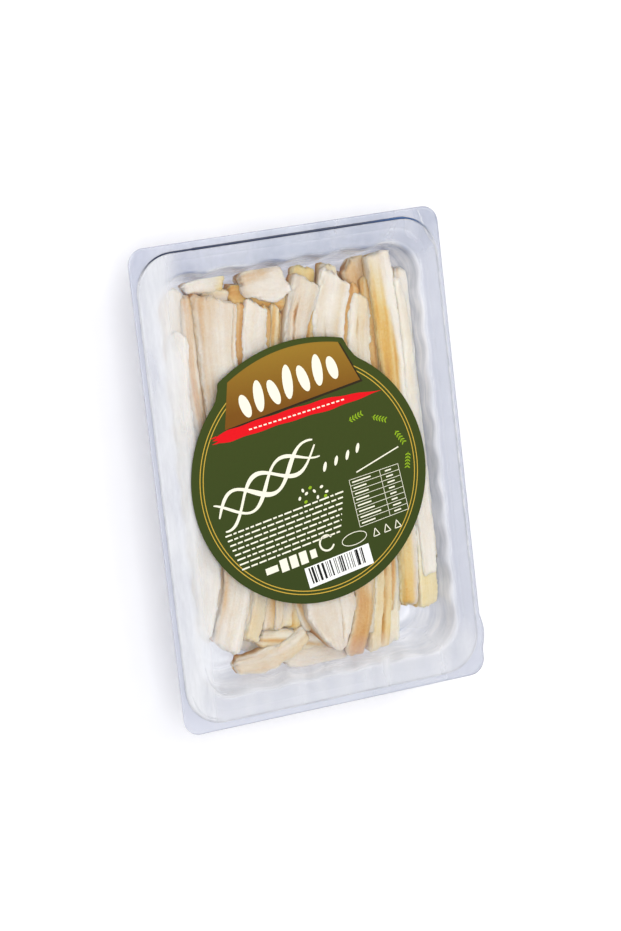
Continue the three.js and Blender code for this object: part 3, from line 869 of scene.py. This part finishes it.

# Cheese strips

# level, deep and lean are the height of a strip's middle, its thickness and its roll in degrees, and at its
# four places from head to foot as [x, y, width].
# slant is how far, in mm, the right side of its head and of its foot reaches beyond the left side.
# tone and gold are its colours, as stops of (share along, amount); tone also carries painted shade. half is painted
# shade: how much deeper its left part is (paler where the amount is negative), and border how far across that part
# reaches. flank is painted shade: how much deeper its left and right sides are.
# lump is the size of its crumples in mm, and even how smooth it is, from 0 to 1.
# cracks are its deep grooves: the share across, and where along it they begin and end.
STRIPS = [
    dict(
        level=19.2, deep=10.5, lean=3,
        at=[[-29.9, 70.6, 20.5], [-31.2, 50.7, 16.2], [-34.4, -38, 11.8], [-42.6, -64, 13.6]],
        slant=(-5, 4),
        tone=((0, 0.26), (0.3, 0.2), (1, 0.12)),
        flank=(0.55, 0.4),
        half=((0, 0.26), (0.3, 0.2), (0.5, 0.1), (0.7, 0.2), (0.85, 0.5), (1, 0.3)),
        border=((0, -0.1), (0.3, -0.35), (0.7, -0.7), (1, -0.6)),
        cracks=[(0.72, 0.0, 0.5)],
    ),
    dict(
        level=19.4, deep=10, lean=-4,
        at=[[9.3, 72, 14.3], [1.1, 49.6, 10], [3.4, -57, 25], [5.4, -73.5, 5.5]],
        slant=(-3, 0),
        tone=((0, 0.22), (0.6, 0.3), (1, 0.2)),
        flank=(0.4, 0.35),
        cracks=[(-0.42, 0.03, 0.4), (0.35, 0.62, 1.0)],
    ),
    dict(
        level=19.2, deep=10.5, lean=8,
        at=[[39.8, 78.6, 10.8], [40.9, 43.5, 11], [38.8, -48.4, 8], [37.4, -61.9, 7]],
        slant=(1.5, 0),
        tone=((0, 0.12), (0.12, 0.02), (0.7, 0.1), (1, 0.25)),
        gold=((0, 0.2), (0.15, 0.9), (1, 0.9)),
        flank=(0.3, 0.05),
        half=((0.02, 0.08), (0.16, 0.62), (0.7, 0.5), (0.9, 0.2), (1, 0.15)),
        border=((0, 0), (0.14, 0.1), (0.3, 0.6), (0.5, 0.3), (1, 0.3)),
    ),
    dict(
        level=18.6, deep=10.5, lean=3,
        at=[[21.6, 72.2, 12.4], [15.6, 48.4, 13.5], [18, -56, 8.6], [11.3, -77, 8.5]],
        slant=(-5, 0),
        tone=((0, 0.14), (0.7, 0.2), (0.86, 0.62), (1, 0.7)),
        gold=((0, 0), (0.7, 0.05), (0.88, 0.35), (1, 0.35)),
        flank=(0.4, 0.45),
        cracks=[(-0.35, 0.12, 0.35)],
    ),
    dict(
        level=18.6, deep=10.5, lean=0,
        at=[[-18.8, 73.8, 9.5], [-12.8, 74, 11.5], [-5, 73, 15], [1.2, 73.6, 10]],
        slant=(0, -3),
        tone=((0, 0.4), (0.45, 0.5), (0.62, 0.2), (1, 0.08)),
        half=((0, -0.22), (0.45, -0.36), (0.62, -0.1), (1, 0)),
        border=((0, 0), (0.5, 0.35), (1, 0.4)),
        flank=(0.1, 0.3),
        lump=0.8,
        even=0.6,
    ),
    dict(
        level=18.2, deep=10.5, lean=8,
        at=[[-45.6, 59, 7.2], [-48.2, 34, 7.6], [-45.4, -31, 11.4], [-49.6, -58, 6]],
        slant=(-2, 0),
        tone=((0, 0.04), (1, 0.08)),
        flank=(0.15, 0.6),
    ),
    dict(
        level=18, deep=10, lean=-5,
        at=[[-13.1, 66.6, 10.6], [-16.5, 51.3, 11], [-26, -46.5, 6.6], [-32.1, -63.3, 6.8]],
        slant=(-3, 1),
        tone=((0, 0.12), (1, 0.25)),
        gold=((0, 0), (0.7, 0.1), (1, 0.5)),
        flank=(0.35, 0.4),
    ),
    dict(
        level=19.4, deep=7, lean=0,
        at=[[47.4, -12, 6.5], [47.8, -30.8, 7.4], [47.9, -41, 7.4], [47.6, -51.9, 6.9]],
        slant=(0, -1.5),
        tone=((0, 0.03), (1, 0.06)),
        flank=(0.2, 0.2),
    ),
    dict(
        level=17.6, deep=10, lean=-4,
        at=[[31.4, 63.5, 8.8], [28.1, 45.4, 10.4], [27.2, -49.5, 7.5], [22.4, -77.2, 8.6]],
        slant=(-3.5, -2),
        tone=((0, 0.2), (1, 0.3)),
        gold=((0, 0.25), (0.6, 0.3), (1, 0.7)),
        flank=(0.4, 0.35),
        cracks=[(0.1, 0.62, 1.0), (-0.2, 0.05, 0.2)],
    ),
    dict(
        level=17, deep=9, lean=-10,
        at=[[48, 68, 6.4], [48.8, 44, 6.6], [46.8, -50.2, 9.6], [46, -64.5, 9.5]],
        slant=(-2, -1),
        tone=((0, 0.02), (0.8, 0.05), (1, 0.25)),
        gold=((0, 0.05), (0.75, 0.1), (0.88, 1), (1, 1)),
        flank=(0.05, 0.05),
    ),
    dict(
        level=16.8, deep=9, lean=12,
        at=[[34.6, -22, 4.8], [33.2, -48.7, 5.2], [31.5, -61.6, 5.5], [29.6, -76, 5.8]],
        slant=(0, -1.5),
        tone=((0, 0.1), (1, 0.04)),
        gold=((0, 0.3), (1, 0.3)),
        flank=(0.3, 0.2),
    ),
    dict(
        level=16, deep=8, lean=4,
        at=[[-3.5, 61.9, 5.6], [-6.1, 48.6, 6.8], [-14.9, -50, 15.6], [-16, -61.9, 15.9]],
        tone=((0, 0.5), (0.8, 0.3), (1, 0.26)),
        gold=((0, 0.5), (0.8, 0.1), (0.93, 0.15), (1, 0.8)),
        flank=(0.5, 0.4),
        cracks=[(0.55, 0.65, 1.0)],
    ),
    dict(
        level=17.2, deep=7, lean=0,
        at=[[-38.2, -72.4, 6.5], [-26.5, -72.6, 8.5], [-15.3, -69.6, 8], [-6.6, -64.6, 6.5]],
        slant=(0, 1.5),
        tone=((0, 0.36), (1, 0.3)),
        gold=((0, 0.1), (1, 0.3)),
        flank=(0.1, 0.2),
        lump=1.0,
    ),
    dict(
        level=15.5, deep=8.5, lean=5,
        at=[[-45, 76.5, 8.6], [-46.2, 69, 8], [-46.7, 61, 7.6], [-46.4, 52, 7.2]],
        slant=(-1.5, 0),
        tone=((0, 0.16), (1, 0.35)),
        flank=(0.2, 0.6),
    ),
    dict(
        level=16, deep=7, lean=0,
        at=[[-40.6, 75.4, 5], [-34.4, 75.9, 6.5], [-29, 76, 7.5], [-24, 75.8, 6]],
        slant=(1, 0),
        tone=((0, 0.12), (0.7, 0.2), (1, 0.35)),
        gold=((0, 0), (0.7, 0.05), (0.88, 0.8), (1, 0.8)),
        flank=(0.5, 0.5),
        lump=0.8,
        even=0.5,
    ),
    dict(
        level=14.8, deep=7, lean=0,
        at=[[10.2, 77, 9.1], [9.5, 72.6, 10.1], [8.4, 66.9, 10.2], [6.8, 59.3, 9.5]],
        slant=(-1, 0),
        tone=((0, 0.26), (1, 0.4)),
        gold=((0, 0.85), (1, 0.6)),
        flank=(0.4, 0.4),
        lump=0.4,
    ),
    dict(
        level=14.8, deep=7, lean=0,
        at=[[21.2, 76.4, 7.8], [20.7, 71.9, 8.6], [20.4, 66.1, 8.7], [19.8, 59.3, 8.3]],
        slant=(-1.5, 0),
        tone=((0, 0.16), (1, 0.4)),
        gold=((0, 0.5), (1, 0.3)),
        flank=(0.3, 0.3),
        lump=0.4,
    ),
    dict(
        level=14.8, deep=7, lean=0,
        at=[[30.6, 76.2, 9.9], [31.6, 70.3, 10], [33, 63.2, 8.8], [33.6, 55.3, 8.2]],
        slant=(5, 0),
        tone=((0, 0.46), (1, 0.75)),
        gold=((0, 0.2), (1, 0.1)),
        flank=(0.3, 0.3),
        lump=0.4,
    ),
    dict(
        level=15.4, deep=6.5, lean=0,
        at=[[-16, -74.6, 6], [-7.6, -75.4, 8], [1.2, -75.6, 9], [10, -76, 8]],
        tone=((0, 0.3), (1, 0.4)),
        flank=(0.3, 0.3),
        lump=0.5,
    ),
]
# The low strips show only in the gaps, and lie side by side on the floor of the tray; their amber tone is painted
# shade for the gaps, pale at the foot
LOW_LEVEL, LOW_DEEP, LOW_HEAD = 6.1, 9.6, 72
for x, width, foot in (
    (-41, 14.4, -63),
    (-24.7, 16, -70),
    (-8.2, 16, -68),
    (8.3, 16, -70),
    (24.8, 16, -62),
    (40.6, 13.6, -57),
):
    STRIPS.append(
        dict(
            level=LOW_LEVEL,
            deep=LOW_DEEP,
            lean=0,
            at=[[x, LOW_HEAD, width - 2], [x + 0.4, 30, width], [x - 0.4, -20, width], [x, foot, width - 3]],
            tone=((0, 0.7), (0.8, 0.5), (1, 0.0)),
            gold=((0, 0.1), (1, 0.0)),
            flank=(0.3, 0.3),
        )
    )


def chance(strip, index):
    """A number from 0 to 1 that stays the same for the same strip and index."""
    v = math.sin(strip * 78.233 + index * 12.9898) * 43758.5453
    return v - math.floor(v)


def bulge(strip, angle, along):
    """How far a strip's skin stands out at an angle, with long grooves that wander along it."""
    total = 0
    for k in range(2, 6):
        phase = 6.28 * chance(strip, k) + (chance(strip, k + 10) - 0.5) * 0.02 * k * along
        total += 0.085 / math.sqrt(k) * math.sin(k * angle + phase)
    return 1 + total


class Path:
    """A centripetal curve through a strip's places, measured along its length."""

    def __init__(self, places):
        self.places = places
        points = [Vector(p[:2]) for p in places]
        self.points = [2 * points[0] - points[1], *points, 2 * points[-1] - points[-2]]
        self.samples = [self.raw(i / 200) for i in range(201)]
        self.runs = [0.0]
        for p, q in zip(self.samples, self.samples[1:]):
            self.runs.append(self.runs[-1] + (q - p).length)
        self.length = self.runs[-1]

    def raw(self, share):
        span = share * (len(self.places) - 1)
        k = min(int(span), len(self.places) - 2)
        t = span - k
        p0, p1, p2, p3 = self.points[k : k + 4]
        d0, d1, d2 = (max((b - a).length ** 0.5, 1e-4) for a, b in ((p0, p1), (p1, p2), (p2, p3)))
        t1 = ((p1 - p0) / d0 - (p2 - p0) / (d0 + d1) + (p2 - p1) / d1) * d1
        t2 = ((p2 - p1) / d1 - (p3 - p1) / (d1 + d2) + (p3 - p2) / d2) * d1
        return p1 + t1 * t + (-3 * p1 + 3 * p2 - 2 * t1 - t2) * t**2 + (2 * p1 - 2 * p2 + t1 + t2) * t**3

    def spot(self, share):
        """The place, the direction and the width at a share of the length."""
        goal = share * self.length
        k = 0
        while k < 199 and self.runs[k + 1] < goal:
            k += 1
        t = (goal - self.runs[k]) / max(self.runs[k + 1] - self.runs[k], 1e-9)
        place = self.samples[k].lerp(self.samples[k + 1], max(0.0, min(1.0, t)))
        heading = (self.samples[min(200, k + 2)] - self.samples[max(0, k - 1)]).normalized()
        span = min((k + t) / 200 * (len(self.places) - 1), len(self.places) - 1.001)
        j = int(max(0, span))
        width = self.places[j][2] + (self.places[j + 1][2] - self.places[j][2]) * (span - j)
        return place, heading, width


BOXY = 0.5  # 1 makes a strip's section an ellipse, and less makes it boxier
CAP = 7  # rings that close each end
# Points round a strip, and the distance of its rings in mm: the strips in sight, the shreds, the low strips
AROUND, RING_STEP = 132, 1.0
SHRED_AROUND, SHRED_STEP = 64, 1.6
LOW_AROUND, LOW_STEP = 48, 3.0
END_ROUND = 1.8  # radius of the edge of an end
TORN_REACH = 7  # how far from its end a strip is torn
GROOVE_DEPTH = 1.6
CHEESE_TOP = 26.7  # just under the film
WALL_CLEARANCE = 1.6


def step_up(value, low, high):
    """Goes smoothly from 0 at low to 1 at high."""
    t = max(0.0, min(1.0, (value - low) / (high - low)))
    return t * t * (3 - 2 * t)


def even_angles(ratio, count, known={}):
    """Angles that stand at even distances round a boxy section of this width to thickness."""
    key = (round(ratio, 1), count)
    if key not in known:
        points, runs = [], [0.0]
        for i in range(721):
            angle = 2 * math.pi * i / 720
            c, s = math.cos(angle), math.sin(angle)
            points.append((math.copysign(abs(c) ** BOXY, c) * key[0], math.copysign(abs(s) ** BOXY, s), angle))
        for p, q in zip(points, points[1:]):
            runs.append(runs[-1] + math.hypot(q[0] - p[0], q[1] - p[1]))
        angles, k = [], 0
        for i in range(count):
            goal = runs[-1] * i / count
            while runs[k + 1] < goal:
                k += 1
            t = (goal - runs[k]) / (runs[k + 1] - runs[k])
            angles.append(points[k][2] + (points[k + 1][2] - points[k][2]) * t)
        known[key] = angles
    return known[key]


def keep_inside(x, y, z):
    """Holds a point of the cheese off the tray's wall."""
    inset = WALL_CLEARANCE
    for (inset0, z0, _), (inset1, z1, _) in zip(INSIDE, INSIDE[1:]):
        if z0 <= z <= z1:
            inset += inset0 + (inset1 - inset0) * (z - z0) / (z1 - z0)
    half_x, half_y = MOUTH_WIDTH / 2 - inset, MOUTH_LENGTH / 2 - inset
    x, y = max(-half_x, min(half_x, x)), max(-half_y, min(half_y, y))
    corner = max(MOUTH_CORNER - 0.35 * inset, 5)
    dx, dy = abs(x) - half_x + corner, abs(y) - half_y + corner
    if dx > 0 and dy > 0 and math.hypot(dx, dy) > corner:
        keep = corner / math.hypot(dx, dy)
        x = math.copysign(half_x - corner + dx * keep, x)
        y = math.copysign(half_y - corner + dy * keep, y)
    return x, y


def stops(marks, u):
    """A number that goes from stop to stop along a strip."""
    for (u0, v0), (u1, v1) in zip(marks, marks[1:]):
        if u <= u1:
            return v0 + (v1 - v0) * max(0.0, u - u0) / (u1 - u0)
    return marks[-1][1]


def wobble(x, y, z):
    return noise.noise(Vector((x, y, z)))


def build_strip(number, row, material, loose=None):
    """A torn, fibrous strip along its row's places. loose is the name of a shred that no solid stands for."""
    path = Path(row["at"])
    low = row["level"] == LOW_LEVEL
    around = LOW_AROUND if low else SHRED_AROUND if loose else AROUND
    body = max(14, round(path.length / (LOW_STEP if low else SHRED_STEP if loose else RING_STEP)))
    rows = body + 2 * CAP
    lean = math.radians(row["lean"])
    lump, rugged = row.get("lump", 0.0), 1 - row.get("even", 0.0)
    flank_shades, cracks, halves, golds = row["flank"], row.get("cracks", []), row.get("half"), row.get("gold")
    seed = 13.7 * (number + 1)
    ease = 0.1 * min(path.length, 60)
    fine = 0.0 if low else 1.0
    deep = row["deep"] / 2
    cache = {}

    def solve(a, b):
        key = (round(a * rows), round(b * around) % around)
        if key in cache:
            return cache[key]
        u = max(0.0, min(1.0, (key[0] - CAP) / body))
        cap = max(CAP - key[0], key[0] - CAP - body, 0) / CAP
        stop = -1 if u < 0.5 else 1
        place, heading, width = path.spot(u)
        half = width / 2
        along = u * path.length
        near = min(along, path.length - along)
        angle = even_angles(width / row["deep"], around)[key[1]]
        c, s = math.cos(angle), math.sin(angle)
        fat = (0.4 + 0.6 * bulge(number, angle, along)) * (0.94 + 0.06 * min(1.0, near / ease) ** 0.5)
        across = math.copysign(abs(c) ** BOXY, c) * half * fat
        height = math.copysign(abs(s) ** BOXY, s) * deep * fat
        size = max(math.hypot(across, height), 0.5)
        side, rise = across / half, height / deep
        edge = step_up(abs(side), 0.72, 0.98) * step_up(rise, 0.2, 0.8)
        broad = wobble(across / 4.5 + seed, height / 4.5, along / 60)
        thread = wobble(across / 1.3, height / 1.3 + seed, along / 34)
        relief = rugged * (0.5 * broad + 0.09 * thread)
        relief += fine * 0.07 * wobble(across / 0.55 + seed, height / 0.55, along / 12)
        relief += fine * 0.22 * wobble(across / 3.0, height / 3.0, along / 3.4 + seed)
        crumb = fine * wobble(across / 0.9, height / 0.9 + seed, along / 1.1)
        relief += (0.07 + 0.6 * edge) * crumb + 0.5 * edge * wobble(across / 2, seed, along / 3)
        relief += lump * wobble(across / 5 + seed, height / 4, along / 5)
        relief -= END_ROUND * (1 - math.sqrt(1 - max(0.0, 1 - near / END_ROUND) ** 2))
        groove = 0.0
        if height > 0:
            for spot, start, end in cracks:
                if start <= u <= end:
                    first = 1.0 if start == 0 else min(1.0, (u - start) / 0.06)
                    last = 1.0 if end == 1 else min(1.0, (end - u) / 0.06)
                    drift = 0.9 * wobble(along / 16, seed, spot) + 0.3 * wobble(along / 1.3, seed, spot)
                    gap = (across - spot * half - drift) / (0.55 + 0.4 * wobble(along / 5, spot, seed))
                    open_here = 0.55 + 0.9 * wobble(along / 7, spot + 3, seed)
                    groove = max(groove, first * last * max(0.1, min(1, open_here)) * math.exp(-gap * gap))
        scale = 1 + (relief - GROOVE_DEPTH * groove) / size
        shrink = 1 - cap**2.2
        across, height = across * scale * shrink, height * scale * shrink
        hold = 1 - min(1.0, near / TORN_REACH)
        lopsided = row.get("slant", (0, 0))[stop > 0] * side * shrink / 2
        torn = hold * (
            lopsided
            + 1.5 * wobble(across / 4.5 + seed, height / 9, stop * 7.0)
            + 0.5 * wobble(across / 1.2, height / 2.4 + seed, stop * 3.0)
        )
        torn += 0.4 * wobble(across / 0.8, height / 0.8, along / 2 + seed + 9 * cap) * (cap > 0)
        x = across * math.cos(lean) - height * math.sin(lean)
        z = across * math.sin(lean) + height * math.cos(lean)
        flat = place + Vector((-heading.y, heading.x)) * x + heading * (stop * torn)
        z = min(row["level"] + z, CHEESE_TOP)
        px, py = keep_inside(flat.x, flat.y, z)

        tone = stops(row["tone"], u)
        # The top edges are lighter, a painted highlight
        tone += (0.3 * broad + 0.34 * thread if loose else 0.16 * broad + 0.08 * thread) - 0.2 * edge
        # The low sides are deeper in tone, painted shade, the more so by the flank amounts
        side_shade = step_up(-rise, -0.75, 0.5)
        tone += side_shade * (0.3 + (flank_shades[0] if side < 0 else flank_shades[1])) * step_up(abs(side), 0.5, 0.95)
        border = stops(row.get("border", ((0, 0.4), (1, 0.4))), u)
        left = 1 - step_up(side, border - 0.3, border + 0.3)
        # Painted shade deepens the left part of a strip, and lightens it where the amount is negative
        if halves:
            tone += stops(halves, u) * left * (0.8 + 0.4 * thread)
        # Grooves get painted shade, crumbs by the edges and grooves get painted highlights, and the ends are a
        # little paler
        tone += 0.5 * groove - 0.2 * crumb * (edge + groove) - 0.1 * (cap > 0.3)
        gold = stops(golds, u) + 0.3 * broad if golds else 0.0
        gold *= left if halves and golds else 1.0
        cache[key] = (at(px, py, z), max(0.0, min(1.1, tone)), max(0.0, min(1.0, gold)), along, angle)
        return cache[key]

    reach = sum(p[2] for p in row["at"]) / 4 * 2 + row["deep"] * 2
    bm = shaped_grid(
        rows,
        around,
        lambda a, b: solve(a, b)[0],
        grain=lambda a, b: (b * reach * MM + seed, solve(a, b)[3] * MM),
        shades={"tone": lambda a, b: solve(a, b)[1], "gold": lambda a, b: solve(a, b)[2]},
    )
    bmesh.ops.recalc_face_normals(bm, faces=bm.faces)
    name = f"strip_{number + 1:02d}"
    make_piece(loose or f"pulled_{name}", bm, [material], () if loose else (name,))


curd = cheese_material()
for number, row in enumerate(STRIPS):
    build_strip(number, row, curd)

# Shreds of curd lie packed between the strips, their amber tone painted shade for the gaps: four places as [x, y],
# a width and a level, then tone and gold
SHRED_RAISE, SHRED_DEEP, SHRED_SEED = 1.7, 9, 40
SHREDS = [
    ([[-41.5, 73], [-42.2, 45], [-40.5, -34], [-46, -56]], 7, 15.4, 0.66, 0.1),
    ([[-19.5, 67], [-22.6, 48], [-29, -44], [-34.5, -60]], 7, 15.6, 0.66, 0.35),
    ([[-8.5, 65], [-11, 48], [-21, -46], [-24, -61]], 5.5, 15.6, 0.66, 0.5),
    ([[-5.2, 65], [-7.9, 48], [-17.5, -46], [-20, -61]], 3.4, 16.8, 0.3, 0.5),
    ([[15.8, 69], [7.6, 48], [13, -50], [10, -67]], 7, 15.6, 0.6, 0.6),
    ([[28.5, 67], [22.8, 46], [22.8, -50], [18, -71]], 7, 15.4, 0.66, 0.45),
    ([[35.5, 70], [34.5, 44], [33, -48], [30, -64]], 7, 15.4, 0.7, 0.7),
    ([[45, 69], [46.4, 44], [42.6, -48], [42, -58]], 7, 14.5, 0.3, 0.4),
    ([[-23, 70], [-14, 69], [-5, 66.5], [3, 64]], 9, 14, 0.58, 0.7),
    ([[-7.5, 10], [-8, -30], [-8.5, -50], [-5, -64]], 7, 14.4, 0.6, 0.5),
    ([[-26, -64], [-15, -66], [-2, -70], [8, -72]], 9, 12.4, 0.3, 0.25),
    ([[-34, 68.5], [-29, 68.5], [-25, 68], [-20, 67.5]], 10, 12.6, 0.35, 0.1),
    ([[51, 71], [53, 44], [53.5, 0], [52, -46]], 9, 15, 0.0, 0.0),
]
for number, (places, width, level, tone, gold) in enumerate(SHREDS):
    row = dict(
        level=level + SHRED_RAISE,
        deep=SHRED_DEEP,
        lean=0,
        at=[[*p, width] for p in places],
        tone=((0, tone), (0.75, tone), (1, 0.3)),
        gold=((0, gold), (0.7, gold), (1, 0.1)),
        flank=(0.1, 0.1),
        lump=0.5,
    )
    build_strip(SHRED_SEED + number, row, curd, f"packed_shred_{number + 1:02d}")

# Floor and light

FLOOR_HALF = 3
floor_bm = bmesh.new()
bmesh.ops.create_grid(floor_bm, x_segments=8, y_segments=8, size=FLOOR_HALF)
floor_mesh = bpy.data.meshes.new("floor")
floor_bm.to_mesh(floor_mesh)
floor_bm.free()
floor_mesh.materials.append(floor_material())
floor = bpy.data.objects.new("floor", floor_mesh)
bpy.context.collection.objects.link(floor)


def soft_light(name, spot, size, power, colour="#FFFFFF"):
    """A square soft box that looks at the origin, its place and side in metres."""
    data = bpy.data.lights.new(name, "AREA")
    data.shape = "RECTANGLE"
    data.size, data.size_y = size, size
    data.energy = power
    data.color = srgb(colour)[:3]
    lamp = bpy.data.objects.new(name, data)
    bpy.context.collection.objects.link(lamp)
    lamp.location = spot
    lamp.rotation_euler = (-Vector(spot)).to_track_quat("-Z", "Y").to_euler()


soft_light("key", (0.75, 0.6, 1.1), 0.9, 6.2, "#FFFCF6")
# The fill stands beside the camera and lights the inside of the tray
soft_light("fill", (-0.35, 0.05, 1.25), 0.9, 8.6)

world = bpy.data.worlds.new("studio")
bpy.context.scene.world = world
world.use_nodes = True
# The dome is brighter overhead than at the horizon, so the shade at the foot of the tray stays faint
sky = add(world.node_tree, "ShaderNodeTexCoord")
height = add(world.node_tree, "ShaderNodeSeparateXYZ", Vector=sky.outputs["Generated"])
glow = add(world.node_tree, "ShaderNodeMapRange", Value=height.outputs[2], To_Min=0.38, To_Max=0.78)
world.node_tree.nodes["Background"].inputs[0].default_value = srgb("#FCFCFF")
world.node_tree.links.new(glow.outputs[0], world.node_tree.nodes["Background"].inputs[1])
